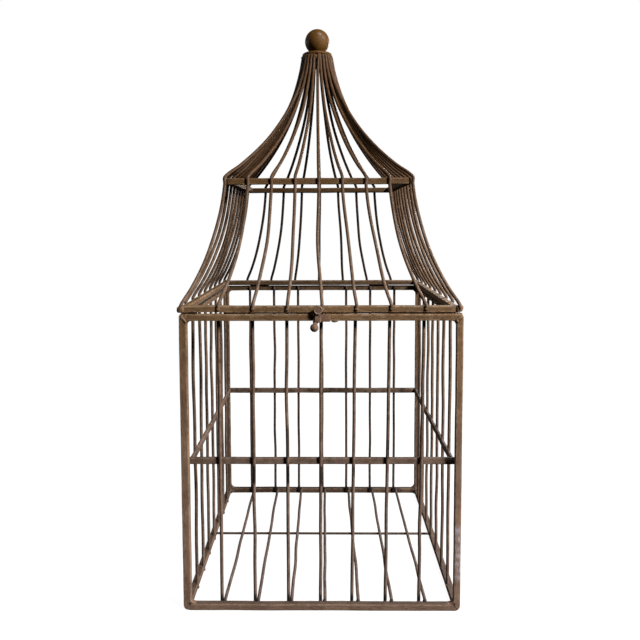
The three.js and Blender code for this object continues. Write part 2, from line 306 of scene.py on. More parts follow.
def round_outline(radius, rubbed_and_lit=0.0):
    """A circle, and how pale each of its points is: an upright wire gets a painted highlight on its right
    front side.
    """
    angles = np.arange(WIRE_SIDES) * 2 * math.pi / WIRE_SIDES
    wear_and_highlight = rubbed_and_lit * np.clip(-np.cos(angles - REAR_ANGLE), 0, 1) ** 2
    return radius * np.stack([np.cos(angles), np.sin(angles)], axis=1), wear_and_highlight


def shaded_inner_side(outline, amount):
    """Painted shade on the side of a rear wire that looks into the cage."""
    backward = outline @ (math.cos(REAR_ANGLE), math.sin(REAR_ANGLE))
    return np.where(backward < 0.35 * WIRE_RADIUS, amount, 0)


def grind(points, corner, inward, radius):
    """Rounds the edge through corner whose two faces look against inward, given as two signed axes."""
    (axis_a, sign_a), (axis_b, sign_b) = inward
    a = (points[:, axis_a] - corner[axis_a]) * sign_a - radius
    b = (points[:, axis_b] - corner[axis_b]) * sign_b - radius
    is_near = (a < 0) & (b < 0)
    longest = np.maximum(-a, -b)
    shrink = np.where(is_near, longest / np.maximum(np.hypot(a, b), 1e-9), 1)
    result = points.copy()
    result[:, axis_a] = corner[axis_a] + (a * shrink + radius) * sign_a
    result[:, axis_b] = corner[axis_b] + (b * shrink + radius) * sign_b
    return result


def turned(points, side_number):
    """Turns what is drawn for the front onto another side, by quarter turns about the middle."""
    angle = side_number * math.pi / 2
    cos, sin = round(math.cos(angle)), round(math.sin(angle))
    points = np.asarray(points, float)
    turned_points = points.copy()
    turned_points[..., 0] = cos * points[..., 0] - sin * points[..., 1]
    turned_points[..., 1] = sin * points[..., 0] + cos * points[..., 1]
    return turned_points


# Places where welding has burnt the iron, places of painted shade, and places where it is scuffed: point,
# reach and strength.
scorch_and_shade_spots = {"body": [], "lid": [], "lever": []}
scuffs = {"body": [], "lid": [], "lever": []}


def scorch_and_shade(body, point, reach, strength=1.0):
    """Blackens a spot on whatever pieces of the body are near: a weld burn, or a spot of painted shade."""
    scorch_and_shade_spots[body].append((point, reach, strength))


def scuff(body, point, reach, strength=1.0):
    """Scuffs a spot on whatever pieces of the body are near."""
    scuffs[body].append((point, reach, strength))


def spots_at(points, spots):
    """How much of the spots each point feels."""
    amount = np.zeros(len(points))
    for point, reach, strength in spots:
        distance = np.linalg.norm(points - np.array(point), axis=1)
        amount = np.maximum(amount, strength * np.exp(-((distance / reach) ** 2)))
    return amount


waiting = []
SHARP_ANGLE = math.radians(42)


def piece(skin, name, body, nodes, slot):
    """Notes a finished skin. Its object is made at the end, once every weld is known."""
    waiting.append((skin, name, body, nodes, slot))


def make_object(skin, name, body, nodes, slot):
    """Makes the object of a finished skin."""
    points = skin.all_points()
    mesh = bpy.data.meshes.new(name)
    mesh.from_pydata(points.tolist(), [], skin.faces)
    burnt_and_shaded = np.maximum(np.concatenate(skin.soot_and_shade), spots_at(points, scorch_and_shade_spots[body]))
    scuffed = spots_at(points, scuffs[body])
    add_marks(mesh, np.concatenate(skin.grain), np.concatenate(skin.wear_and_highlight), burnt_and_shaded, scuffed)
    shell = bmesh.new()
    shell.from_mesh(mesh)
    bmesh.ops.recalc_face_normals(shell, faces=shell.faces)
    shell.to_mesh(mesh)
    shell.free()
    finish_object(mesh, name, body, nodes, slot)


def add_marks(mesh, grain, wear_and_highlight, burnt_and_shaded, scuffed):
    """Gives a mesh the values that its material reads."""
    mesh.attributes.new("grain", "FLOAT_VECTOR", "POINT").data.foreach_set("vector", grain.ravel())
    mesh.attributes.new("wear_and_highlight", "FLOAT", "POINT").data.foreach_set("value", wear_and_highlight)
    mesh.attributes.new("scorch_and_shade", "FLOAT", "POINT").data.foreach_set("value", burnt_and_shaded)
    mesh.attributes.new("scuff", "FLOAT", "POINT").data.foreach_set("value", scuffed)


def finish_object(mesh, name, body, nodes, slot):
    """Shades a mesh, and enters it as a piece that rides on a body."""
    mesh.polygons.foreach_set("use_smooth", [True] * len(mesh.polygons))
    mesh.set_sharp_from_angle(angle=SHARP_ANGLE)
    mesh.materials.append(materials[slot])
    item = bpy.data.objects.new(name, mesh)
    bpy.context.scene.collection.objects.link(item)
    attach(item, body)
    if nodes:
        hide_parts(*nodes)


# ---------------------------------------------------------------- rust

UMBER = (0.150, 0.082, 0.034)
WIRE_UMBER = (0.098, 0.056, 0.030)
LATCH_UMBER = (0.122, 0.070, 0.043)
# PINKISH and WIRE_PINKISH, the colours low down, hold painted light bounced up from the floor over the rust's
# own tone.
PINKISH = (0.235, 0.146, 0.104)
WIRE_PINKISH = (0.150, 0.098, 0.076)
BROWN = (0.054, 0.025, 0.006)
CHESTNUT = (0.070, 0.029, 0.003)
RUST = (0.044, 0.018, 0.004)
# Dark for blotches and pits, and for the painted shade over the back of the cage.
DARK_SOOT_AND_SHADE = (0.030, 0.016, 0.008)
TAN = (0.33, 0.23, 0.15)
PALE = (0.29, 0.205, 0.155)
OCHRE = (0.17, 0.09, 0.03)
SAND = (0.30, 0.22, 0.17)
DUST = (0.42, 0.36, 0.31)
BARE = (0.50, 0.46, 0.49)
# Near black for weld burns and for painted shade.
BURN_AND_SHADE_BLACK = (0.007, 0.007, 0.008)
UNEVEN = 0.14  # how far the roughness strays either way

# The sockets of a colour Mix node.
MIX_FACTOR, MIX_BELOW, MIX_ABOVE = 0, 6, 7
MIX_RESULT = 2


def rust(name, upper, lower, top, dark, light, roughness, bump):
    """Rusted, waxed iron. lower, upper and top are its colours at the floor, the lid and the crown.

    dark is the colour of its blotches and pits, and of the painted shade over the back of the cage. light is
    that of its patches and rubbed edges, and of the painted highlights on the wires and strips.
    """
    material = bpy.data.materials.new(name)
    material.use_nodes = True
    nodes = material.node_tree.nodes
    links = material.node_tree.links
    shader = nodes["Principled BSDF"]

    def node(kind, **values):
        made = nodes.new(kind)
        for key, value in values.items():
            setattr(made, key, value)
        return made

    def link(source, output, target, field):
        links.new(source.outputs[output], target.inputs[field])

    def mark(attribute):
        return node("ShaderNodeAttribute", attribute_name=attribute)

    def stretched(source, output, scale):
        mapping = node("ShaderNodeMapping")
        mapping.inputs["Scale"].default_value = scale
        link(source, output, mapping, "Vector")
        return mapping

    def noise(source, scale, detail, rough=0.6):
        made = node("ShaderNodeTexNoise")
        made.inputs["Scale"].default_value = scale
        made.inputs["Detail"].default_value = detail
        made.inputs["Roughness"].default_value = rough
        link(source, "Vector", made, "Vector")
        return made

    def ramp(source, output, low, high, bottom=0.0, top=1.0):
        made = node("ShaderNodeMapRange", interpolation_type="SMOOTHSTEP")
        made.inputs["From Min"].default_value = low
        made.inputs["From Max"].default_value = high
        made.inputs["To Min"].default_value = bottom
        made.inputs["To Max"].default_value = top
        link(source, output, made, "Value")
        return made

    def product(first, first_output, second, second_output):
        made = node("ShaderNodeMath", operation="MULTIPLY")
        links.new(first.outputs[first_output], made.inputs[0])
        links.new(second.outputs[second_output], made.inputs[1])
        return made

    def blend(factor, output, below, colour):
        made = node("ShaderNodeMix", data_type="RGBA")
        links.new(factor.outputs[output], made.inputs[MIX_FACTOR])
        if isinstance(below, tuple):
            made.inputs[MIX_BELOW].default_value = (*below, 1)
        else:
            links.new(below.outputs[MIX_RESULT], made.inputs[MIX_BELOW])
        made.inputs[MIX_ABOVE].default_value = (*colour, 1)
        return made

    def paint(below, mask, amount, colour):
        """Lays a colour over what is below, where the mask is up, at most as strongly as amount."""
        factor = node("ShaderNodeMath", operation="MULTIPLY")
        links.new(mask.outputs["Result" if "Result" in mask.outputs else "Value"], factor.inputs[0])
        factor.inputs[1].default_value = amount
        return blend(factor, "Value", below, colour)

    place = node("ShaderNodeTexCoord")
    split = node("ShaderNodeSeparateXYZ")
    link(place, "Object", split, "Vector")
    grain = mark("grain")
    whole = stretched(place, "Object", (1, 1, 1))
    drawn = stretched(grain, "Vector", (0.12, 1, 1))

    # Paler and pinker towards the floor: the rust's own tone with painted light bounced up from the floor.
    height = ramp(split, "Z", 0.02, 0.36)
    blotches = ramp(noise(whole, 38, 5), "Fac", 0.38, 0.66)
    patches = ramp(noise(whole, 95, 6, 0.7), "Fac", 0.5, 0.72)
    streaks = ramp(noise(drawn, 900, 5, 0.65), "Fac", 0.46, 0.7)
    pits = ramp(noise(whole, 1100, 4, 0.7), "Fac", 0.58, 0.7)
    specks = ramp(noise(whole, 620, 3, 0.6), "Fac", 0.66, 0.74)
    # Pale on rubbed edges, and a painted highlight on the right front side of each wire and on the strips'
    # faces, fading towards the crown.
    rubbed_and_lit = product(mark("wear_and_highlight"), "Fac", ramp(noise(whole, 160, 4, 0.7), "Fac", 0.36, 0.62), "Result")
    rubbed_and_lit = product(rubbed_and_lit, "Value", ramp(split, "Z", 0.3, 0.48, 1.0, 0.25), "Result")
    scuffed = product(mark("scuff"), "Fac", ramp(noise(drawn, 1500, 5, 0.75), "Fac", 0.4, 0.56), "Result")
    # Near black where welding burnt the iron, and where shade is painted: in gaps, on the inner sides of rear
    # wires, on some tops and edges.
    burnt_and_shaded = ramp(mark("scorch_and_shade"), "Fac", 0.1, 0.8)
    crown = ramp(split, "Z", 0.33, 0.5)
    # Darker towards the back of the cage: painted shade.
    back = ramp(split, "Y", 0.02, 0.13)

    colour = blend(height, "Result", lower, upper)
    colour = paint(colour, blotches, 0.35, dark)
    colour = paint(colour, patches, 0.42, light)
    colour = paint(colour, back, 0.55, dark)
    colour = paint(colour, streaks, 0.35, dark)
    colour = paint(colour, pits, 0.5, dark)
    colour = paint(colour, crown, 0.85, top)
    colour = paint(colour, rubbed_and_lit, 0.6, light)
    colour = paint(colour, specks, 0.35, DUST)
    colour = paint(colour, scuffed, 0.8, BARE)
    colour = paint(colour, burnt_and_shaded, 0.95, BURN_AND_SHADE_BLACK)
    links.new(colour.outputs[MIX_RESULT], shader.inputs["Base Color"])

    gloss = ramp(noise(whole, 260, 5, 0.7), "Fac", 0.3, 0.7, roughness - UNEVEN, roughness + UNEVEN)
    link(gloss, "Result", shader, "Roughness")
    shader.inputs["Metallic"].default_value = 0.0
    shader.inputs["Specular IOR Level"].default_value = 0.1

    crust = noise(whole, 700, 6, 0.65)
    coarse = node("ShaderNodeBump")
    coarse.inputs["Strength"].default_value = bump
    coarse.inputs["Distance"].default_value = 0.0005
    link(crust, "Fac", coarse, "Height")
    fine = node("ShaderNodeBump")
    fine.inputs["Strength"].default_value = bump * 0.7
    fine.inputs["Distance"].default_value = 0.0009
    links.new(streaks.outputs["Result"], fine.inputs["Height"])
    link(coarse, "Normal", fine, "Normal")
    link(fine, "Normal", shader, "Normal")
    return material


# The upper, lower, top, dark and light colours of each material, its roughness and how bumpy it is.
LOOKS = {
    "frame_iron": (UMBER, PINKISH, BROWN, DARK_SOOT_AND_SHADE, TAN, 0.62, 0.5),
    "wire_iron": (WIRE_UMBER, WIRE_PINKISH, RUST, DARK_SOOT_AND_SHADE, PALE, 0.52, 0.35),
    "crown_iron": (UMBER, PINKISH, CHESTNUT, DARK_SOOT_AND_SHADE, OCHRE, 0.55, 0.45),
    "latch_iron": (LATCH_UMBER, PINKISH, RUST, DARK_SOOT_AND_SHADE, SAND, 0.5, 0.5),
}

materials = {slot: rust(slot, *look) for slot, look in LOOKS.items()}

# ---------------------------------------------------------------- body


def make_posts():
    """The four corner posts, with their outer corners ground."""
    outline, wear_and_highlight = rounded_outline(BAR, BAR)
    for number, (_, corner) in enumerate(SIDES):
        centre = -HALF + BAR / 2
        skin = Skin()
        path = straight((centre, centre, 0), (centre, centre, TOP), BAR_SPACING, EDGE_RADIUS)
        skin.sweep(path, outline, wear_and_highlight, (0, 1, 0), EDGE_RADIUS, offset=number * 0.7)
        points = turned(skin.points[0], number)
        away_x, away_y = (-1 if corner.endswith("left") else 1), (-1 if corner.startswith("front") else 1)
        foot = (away_x * HALF, away_y * HALF, 0)
        head = (away_x * HALF, away_y * HALF, TOP)
        points = grind(points, foot, [(0, -away_x), (2, 1)], CORNER_RADIUS)
        top_radius = RIGHT_TOP_CORNER_RADIUS if away_x > 0 else TOP_CORNER_RADIUS
        points = grind(points, head, [(0, -away_x), (2, -1)], top_radius)
        points = grind(points, head, [(1, -away_y), (2, -1)], TOP_CORNER_RADIUS)
        if corner == "front_left":
            is_left = points[:, 0] < centre
            points[:, 0] += THICKER_POST * np.where(is_left, -0.4, 0.6)
        skin.points[0] = points + ripple(points, 45 * MM, 0.07 * MM, number)
        piece(skin, f"bar_post_{corner}", "body", [f"post_{corner}"], "frame_iron")


def make_rails():
    """The upper and lower rails, with painted shade on top of the lower rails and along the upper rails'
    inner top edge.
    """
    outline, wear_and_highlight = rounded_outline(BAR, BAR)
    is_top = outline[:, 1] > BAR / 2 - ON_FACE
    is_top_inside = (outline[:, 1] > BAR / 2 - NEAR_EDGE) & (outline[:, 0] < NEAR_EDGE - BAR / 2)
    reach = INSIDE + RAIL_LAP
    for number, (side, _) in enumerate(SIDES):
        for level, low in (("upper", TOP - BAR), ("lower", 0)):
            skin = Skin()
            line = -HALF + BAR / 2
            middle = low + BAR / 2
            path = straight((-reach, line, middle), (reach, line, middle), BAR_SPACING, RAIL_END)
            offset = number * 0.9 + (0.4 if level == "upper" else 0)
            # Painted shade on the lower rails' top faces and along the upper rails' inner top edge, under the
            # lid.
            soot_and_shade = np.where(is_top, 0.5, 0.0) if level == "lower" else np.where(is_top_inside, 0.9, 0.0)
            skin.sweep(path, outline, wear_and_highlight, (0, 0, 1), RAIL_END, offset=offset, soot_and_shade=soot_and_shade)
            points = turned(skin.points[0], number)
            skin.points[0] = points + ripple(points, 60 * MM, 0.08 * MM, 20 + number)
            node = f"{level}_rail_{side}"
            piece(skin, f"bar_{node}", "body", [node], "frame_iron")


make_posts()
make_rails()

# ---------------------------------------------------------------- wires


def wavy(path, depth, seed, pins):
    """Bends a wire a little between the heights or lengths at which it is held."""
    path = np.asarray(path, float)
    steps = np.linalg.norm(np.diff(path, axis=0), axis=1)
    along = np.concatenate([[0], np.cumsum(steps)])
    hold = np.zeros(len(path))
    for first, last in zip(pins[:-1], pins[1:]):
        inside = (along >= first) & (along <= last)
        hold[inside] = np.sin(math.pi * (along[inside] - first) / (last - first)) ** 2
    return path + ripple(path, 110 * MM, depth, seed) * hold[:, None]


def wall_wire(skin, number, step):
    """One upright of a wall, held by the rails and the strip."""
    low = grille_low.z + FEET_UP.get(number, 0)
    height = grille_high.z - low
    across = step * PITCH
    path = straight((across, -WALL_LINE, low), (across, -WALL_LINE, low + height), WIRE_SPACING, WIRE_END)
    strip = STRIP_TOP - STRIP_HEIGHT / 2 - low
    path = wavy(path, 0.45 * MM, 100 + number * 10 + step, [BAR, strip, height - BAR])
    path[:, 0] -= LEANS.get((number, step), 0) * (1 - (path[:, 2] - low) / height)
    path[:, 1] -= WIRES_OUT.get(number, 0)
    path = turned(path, number)
    # A painted highlight on the right front side of each wire.
    outline, wear_and_highlight = round_outline(WIRE_RADIUS, rubbed_and_lit=0.6)
    # Painted shade on the side of the back wall's wires that looks into the cage.
    soot_and_shade = shaded_inner_side(outline, 0.36) if number == 2 else 0
    skin.sweep(path, outline, wear_and_highlight, (0.3, 1, 0), WIRE_END, offset=number + step * 0.13, soot_and_shade=soot_and_shade)


def wall_strip(skin, number, is_long):
    """The flat bar across the inside of the wires. Only a long one reaches the posts."""
    reach = grille_high.x if is_long else -strip_box(number)[0]
    line = -WALL_LINE + WIRE_RADIUS - 0.15 * MM + STRIP_THICKNESS / 2
    middle = STRIP_TOP - STRIP_HEIGHT / 2
    outline, wear_and_highlight = rounded_outline(STRIP_THICKNESS, STRIP_HEIGHT, STRIP_EDGE_RADIUS)
    # The strip's faces are paled all over as well: painted light.
    wear_and_highlight = 0.4 + 0.5 * wear_and_highlight
    path = straight((-reach, line, middle), (reach, line, middle), STRIP_SPACING, WIRE_END)
    # Painted shade on the strip's top face, left off the left wall's strip.
    soot_and_shade = np.where(outline[:, 1] > STRIP_HEIGHT / 2 - ON_FACE, 0.0 if number == 3 else 0.5, 0.0)
    path[:, 1] -= STRIP_OUT.get(number, 0)
    path = turned(path, number)
    path[:, 2] += STRIP_RISE * (path[:, 1] + HALF) / (2 * HALF)
    skin.sweep(path, outline, wear_and_highlight, (0, 0, 1), WIRE_END, offset=3 + number, soot_and_shade=soot_and_shade)
    last = skin.points[-1]
    skin.points[-1] = last + ripple(last, 50 * MM, 0.1 * MM, 60 + number)


def strip_box(number):
    """Where a wall's grille begins and ends along the wall."""
    low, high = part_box(f"wall_grille_{SIDES[number][0]}")
    return (low.y, high.y) if number % 2 else (low.x, high.x)


def make_walls():
    """The four walls, each of upright wires on a strip."""
    for number, (side, _) in enumerate(SIDES):
        skin = Skin()
        wall_strip(skin, number, number % 2 == 0)
        for step in STEPS:
            wall_wire(skin, number, step)
        node = f"wall_grille_{side}"
        piece(skin, f"wires_{node}", "body", [node], "wire_iron")


def make_floor_wires():
    """The floor: wires from front to back on a thinner wire across."""
    skin = Skin()
    outline, wear_and_highlight = round_outline(WIRE_RADIUS)
    height = floor_high.z - WIRE_RADIUS
    for step in STEPS:
        across = step * PITCH + FLOOR_WIRES_ASIDE
        path = straight((across, floor_low.y, height), (across, floor_high.y, height), WIRE_SPACING, WIRE_END)
        path = wavy(path, 0.5 * MM, 200 + step, [0, floor_high.y + CROSS_WIRE_PLACE, 2 * floor_high.y])
        skin.sweep(path, outline, wear_and_highlight, (0, 0, 1), WIRE_END, offset=7 + step * 0.17, soot_and_shade=0.27)
    low = floor_low.z + WIRE_RADIUS
    start = (floor_low.x, CROSS_WIRE_PLACE, low)
    end = (floor_high.x, CROSS_WIRE_PLACE, low)
    path = straight(start, end, WIRE_SPACING, WIRE_END)
    outline, wear_and_highlight = round_outline(CROSS_WIRE_RADIUS)
    skin.sweep(path, outline, wear_and_highlight, (0, 0, 1), WIRE_END, offset=9, soot_and_shade=0.4)
    piece(skin, "wires_floor", "body", ["floor_grille"], "wire_iron")


make_walls()
make_floor_wires()

# ---------------------------------------------------------------- lid


def frame_loop(name, node, centre, half, low, seed):
    """A square of bar, mitred and welded at its corners."""
    outline, wear_and_highlight = rounded_outline(BAR, BAR)
    line = half - BAR / 2
    count = round(2 * line / FRAME_SPACING)
    share = np.linspace(-1, 1, count, endpoint=False)
    rings = []
    grain = []
    for number in range(4):
        ring = np.empty((count, len(outline), 3))
        ring[..., 0] = share[:, None] * (line + outline[None, :, 0])
        ring[..., 1] = -(line + outline[None, :, 0])
        ring[..., 2] = low + BAR / 2 + outline[None, :, 1]
        rings.append(turned(ring, number))
        lay = np.empty(ring.shape)
        lay[..., 0] = (share[:, None] + 2 * number) * line + seed
        lay[..., 1:] = outline[None] + seed
        grain.append(lay)
    skin = Skin()
    # Painted shade along the inner lower edge of the frame.
    is_under_inside = (outline[:, 1] < NEAR_EDGE - BAR / 2) & (outline[:, 0] < NEAR_EDGE - BAR / 2)
    soot_and_shade = np.where(is_under_inside, 0.9, 0.0)
    skin.loft(np.concatenate(rings), np.concatenate(grain), wear_and_highlight, is_loop=True, soot_and_shade=soot_and_shade)
    points = skin.points[0]
    for sign_x in (-1, 1):
        for sign_y in (-1, 1):
            corner = (sign_x * half, sign_y * half, 0)
            points = grind(points, corner, [(0, -sign_x), (1, -sign_y)], TOP_CORNER_RADIUS)
    points = points + ripple(points, 60 * MM, 0.08 * MM, seed)
    points[:, 0] += centre
    if node == "lid_base_frame":
        near_bow = np.exp(-(((points[:, 0] - LID_BOW_PLACE) / LID_BOW_REACH) ** 2))
        points[:, 2] += LID_BOW * near_bow * (points[:, 1] < 0)
    skin.points[0] = points
    piece(skin, name, "lid", [node], "frame_iron")


def centre_line(node):
    """The centre line of a bent CAD wire, from the middles of its six-sided sections."""
    points = np.array([vertex.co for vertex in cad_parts[node].data.vertices])
    points = np.unique(np.round(points, 6), axis=0)
    points = points[np.argsort(points[:, 2])]
    return points.reshape(-1, 6, 3).mean(axis=1)


def smooth_line(knots, spacing):
    """A curve through the knots, with points about spacing apart."""
    padded = np.concatenate([2 * knots[:1] - knots[1:2], knots, 2 * knots[-1:] - knots[-2:-1]])
    line = []
    for before, start, end, after in zip(padded, padded[1:], padded[2:], padded[3:]):
        length = np.linalg.norm(end - start)
        count = max(1, round(length / spacing))
        share = (np.arange(count) / count)[:, None]
        pull_start = (end - before) / (length + np.linalg.norm(start - before)) * length
        pull_end = (after - start) / (length + np.linalg.norm(after - end)) * length
        line.append(
            (2 * share**3 - 3 * share**2 + 1) * start
            + (share**3 - 2 * share**2 + share) * pull_start
            + (3 * share**2 - 2 * share**3) * end
            + (share**3 - share**2) * pull_end
        )
    return np.concatenate([*line, knots[-1:]])


def roof_wire(node, number, step):
    """One bent wire of the roof, held by the lid's bar, the neck and the cap."""
    path = smooth_line(centre_line(node), ROOF_SPACING)
    height = path[:, 2]
    skirt = np.clip((height - lid_high.z) / (neck_low.z - lid_high.z), 0, 1)
    spire = np.clip((height - neck_high.z) / (height.max() - neck_high.z), 0, 1)
    hold = np.sin(math.pi * skirt) ** 2 + np.sin(math.pi * spire) ** 2
    path = path + ripple(path, 120 * MM, 0.35 * MM, 300 + number * 10 + step) * hold[:, None]
    path[:, 0] += BENT.get(node, 0) * np.sin(math.pi * skirt) ** 2
    path[:, 0] += FEET_ASIDE.get(node, 0) * (1 - skirt) ** 2
    path[:, 0] += TOPS_ASIDE.get(node, 0) * spire**5
    if "_front_" in node and "corner" not in node:
        at_neck = np.exp(-(((height - (neck_low.z + BAR / 2)) / (11 * MM)) ** 2))
        at_foot = np.exp(-(((height - height.min()) / (9 * MM)) ** 2))
        path[:, 1] += PRESSED_AT_NECK * at_neck + PRESSED_AT_FOOT * at_foot
    # A painted highlight on the right front side of each roof wire.
    outline, wear_and_highlight = round_outline(WIRE_RADIUS, rubbed_and_lit=0.5)
    skin = Skin()
    # Painted shade on the side of the back roof wires that looks into the cage.
    soot_and_shade = shaded_inner_side(outline, 0.5) if "_back" in node else 0
    offset = number * 1.1 + step * 0.19
    skin.sweep(path, outline, wear_and_highlight, (0.3, 1, 0), WIRE_END, offset=offset, soot_and_shade=soot_and_shade)
    piece(skin, node.replace("roof_wire", "bent_wire"), "lid", [node], "wire_iron")


def make_roof():
    """The lid's two frames and the wires between them and the cap."""
    frame_loop("bar_lid_base", "lid_base_frame", LID_MIDDLE, LID_HALF, lid_low.z, 31)
    frame_loop("bar_lid_neck", "lid_neck_frame", NECK_MIDDLE, NECK_HALF, neck_low.z, 32)
    for number, (side, corner) in enumerate(SIDES):
        roof_wire(f"roof_wire_corner_{corner}", number, 0)
        for step in range(1, WIRES_PER_SIDE + 1):
            roof_wire(f"roof_wire_{side}_{step}", number, step)


make_roof()

# ---------------------------------------------------------------- welds

welds = {"body": Skin(), "lid": Skin()}

LUMP_RINGS = 9
LUMP_SIDES = 14
CROWN_LUMPS = 26


def lump(body, centre, size, seed, burnt_and_shaded=0.0, squareness=0.8):
    """A blob of weld metal, slightly square and uneven. size holds its three half sizes."""
    down = np.linspace(0.1, math.pi - 0.1, LUMP_RINGS)
    around = np.arange(LUMP_SIDES) * 2 * math.pi / LUMP_SIDES
    shape = np.stack(
        [
            np.sin(down)[:, None] * np.cos(around),
            np.sin(down)[:, None] * np.sin(around),
            np.repeat(np.cos(down)[:, None], LUMP_SIDES, axis=1),
        ],
        axis=2,
    )
    rings = np.sign(shape) * np.abs(shape) ** squareness * np.array(size)
    rough = ripple(rings.reshape(-1, 3) + seed, 2.2 * min(size), 0.09 * min(size), seed)
    rings = rings + rough.reshape(rings.shape)
    welds[body].loft(rings + np.array(centre), rings + seed * 0.37, 0.35, soot_and_shade=burnt_and_shaded)


def bead(body, start, end, radius, seed, burnt_and_shaded=0.0):
    """A short uneven line of weld metal."""
    outline, wear_and_highlight = round_outline(radius)
    path = straight(start, end, 0.6 * MM, radius * 0.9)
    skin = welds[body]
    skin.sweep(path, outline, wear_and_highlight + 0.3, (0.37, 0.53, 0.76), radius * 0.9, offset=seed * 0.29, soot_and_shade=burnt_and_shaded)
    points = skin.points[-1]
    skin.points[-1] = points + ripple(points, 2.6 * radius, 0.22 * radius, seed)


def web(corner, first, second, size, thickness):
    """Weld metal that rounds out the inner corner between two bars running along first and second."""
    first, second = np.array(first, float), np.array(second, float)
    through = np.cross(first, second)
    angles = np.linspace(0, math.pi / 2, 8)[:, None]
    reach = first * (1 - np.sin(angles)) + second * (1 - np.cos(angles))
    corner = np.array(corner, float)
    buried = corner - (first + second) * 0.4 * MM
    thick = thickness / 2
    rings = []
    for across, swell in ((-1, 0.86), (-0.86, 1), (-0.4, 1.03), (0.4, 1.03), (0.86, 1), (1, 0.86)):
        curve = corner + reach * size * swell
        rings.append(np.concatenate([[buried], curve]) + through * across * thick * 0.94)
    rings = np.array(rings)
    welds["body"].loft(rings, rings, 0.2, soot_and_shade=0.25)


def weld_frames():
    """Fillets at every post, and the lumps on the front of the body."""
    middle = -(HALF - BAR / 2)
    for number, (side, corner) in enumerate(SIDES):
        size = FILLETS[side]
        for hand in (-1, 1):
            for height, up in ((TOP - BAR, -1), (BAR, 1)):
                grown = size * (FRONT_FILLET_GROWTH if side == "front" else 1)
                place = turned([hand * INSIDE, middle, height], number)
                web(place, turned([-hand, 0, 0], number), (0, 0, up), grown, BAR)
        lower_size = BACK_PLAN_FILLET if corner.startswith("back") else size
        for low, plan_size in ((0, lower_size), (TOP - BAR, UPPER_PLAN_FILLET)):
            place = turned([-INSIDE, -INSIDE, low + BAR / 2], number)
            web(place, turned([1, 0, 0], number), turned([0, 1, 0], number), plan_size, BAR * 0.9)
    face = -HALF
    for hand, burnt_and_shaded in ((-1, 0.12), (1, 0.2)):
        inner = (hand * (INSIDE - 1.2 * MM), face + 0.5 * MM, TOP - BAR - 1.5 * MM)
        outer = (hand * (HALF - 1.9 * MM), face + 0.6 * MM, TOP - 1.6 * MM)
        bead("body", inner, outer, 1.5 * MM, 3 + hand, burnt_and_shaded)
        for aside in (-1.35 * MM, 1.35 * MM):
            shift = Vector((aside, -0.15 * MM, -hand * aside))
            start = Vector(inner) + shift
            end = Vector(outer) + (Vector(inner) - Vector(outer)) * 0.15 + shift
            bead("body", start, end, 0.6 * MM, 11 + hand, 0.45)
        low_inner = (hand * (INSIDE + 0.3 * MM), face + 0.45 * MM, BAR + 0.3 * MM)
        low_outer = (hand * (HALF - 2.6 * MM), face + 0.25 * MM, 2.6 * MM)
        bead("body", low_inner, low_outer, 0.55 * MM, 7 + hand, 0.4)
        scorch_and_shade("body", (hand * (INSIDE + 0.4 * MM), face, BAR + 0.4 * MM), 1.9 * MM, 0.8)
    lump("body", (0.0135, face + 1.1 * MM, TOP - BAR - 0.2 * MM), (3.4 * MM, 1.9 * MM, 1.3 * MM), 17, 0.35)
    lump("body", (0.006, face + 1.4 * MM, TOP - BAR - 0.1 * MM), (2.6 * MM, 1.4 * MM, 0.8 * MM), 18, 0.5)


def weld_wall_wires():
    """Beads at the ends of the upright wires, black marks from welding, a painted shadow of the upper rail on
    the wires, and the listed black stretches.
    """
    for number in range(4):
        for step in STEPS:
            head = step * PITCH
            foot = head - LEANS.get((number, step), 0)
            for across, height, size in ((foot, 4.6 * MM, 1.5), (head, TOP - 4 * MM, 1.3)):
                place = turned([across - 0.9 * MM, -INSIDE + 0.4 * MM, height], number)
                half = np.array([1.6, 0.9, size] if number % 2 == 0 else [0.9, 1.6, size]) * MM
                lump("body", place, half, 30 + number * 16 + step, 0.3)
            if number % 2 == 0:
                scorch_and_shade("body", turned([foot - 0.8 * MM, -WALL_LINE, 9 * MM], number), 5 * MM, 0.9)
                # A painted shadow of the upper rail on the wires just under it.
                scorch_and_shade("body", turned([head, -WALL_LINE, TOP - BAR - 3 * MM], number), 6.5 * MM, 0.95)
            if number == 3:
                place = turned([foot + 0.5 * MM, -INSIDE + 0.5 * MM, 1.9 * MM], number)
                lump("body", place, np.array([1.1, 1.6, 1.5]) * MM, 300 + step, 0.2)
    for step, low, high, strength in BLACK_WIRE_STRETCHES:
        for height in np.arange(low, high, 3 * MM):
            scorch_and_shade("body", (step * PITCH, -WALL_LINE, height), 3.4 * MM, strength)


def weld_strips():
    """The welds that join the ends of the long strips to the posts."""
    height = STRIP_TOP - STRIP_HEIGHT / 2
    end = grille_high.x - 0.4 * MM
    for number in (0, 2):
        rise = STRIP_RISE if number else 0
        for hand in (-1, 1):
            place = turned([hand * end, -INSIDE + 1.4 * MM, height + rise], number)
            lump("body", place, np.array([1.7, 2.3, 2.6]) * MM, 500 + 3 * number + hand, 0.15)


def weld_floor():
    """Small nubs where the floor wires end on the front and back rails."""
    height = floor_high.z - WIRE_RADIUS
    for step in STEPS:
        across = step * PITCH + FLOOR_WIRES_ASIDE
        front = (across - 0.6 * MM, floor_low.y + 0.6 * MM, height)
        lump("body", front, (1.9 * MM, 1.6 * MM, 1.5 * MM), 90 + step, 0.6)
        back = (across, floor_high.y - 0.4 * MM, height + 0.9 * MM)
        lump("body", back, (2.1 * MM, 1.7 * MM, 1.5 * MM), 80 + step, 0.1)
        beside = (across - 2.6 * MM, floor_high.y, height - 0.6 * MM)
        lump("body", beside, (1.5 * MM, 1 * MM, 1.5 * MM), 70 + step, 0.6)
        scorch_and_shade("body", (across - 1.5 * MM, floor_low.y, height), 3.4 * MM, 0.85)


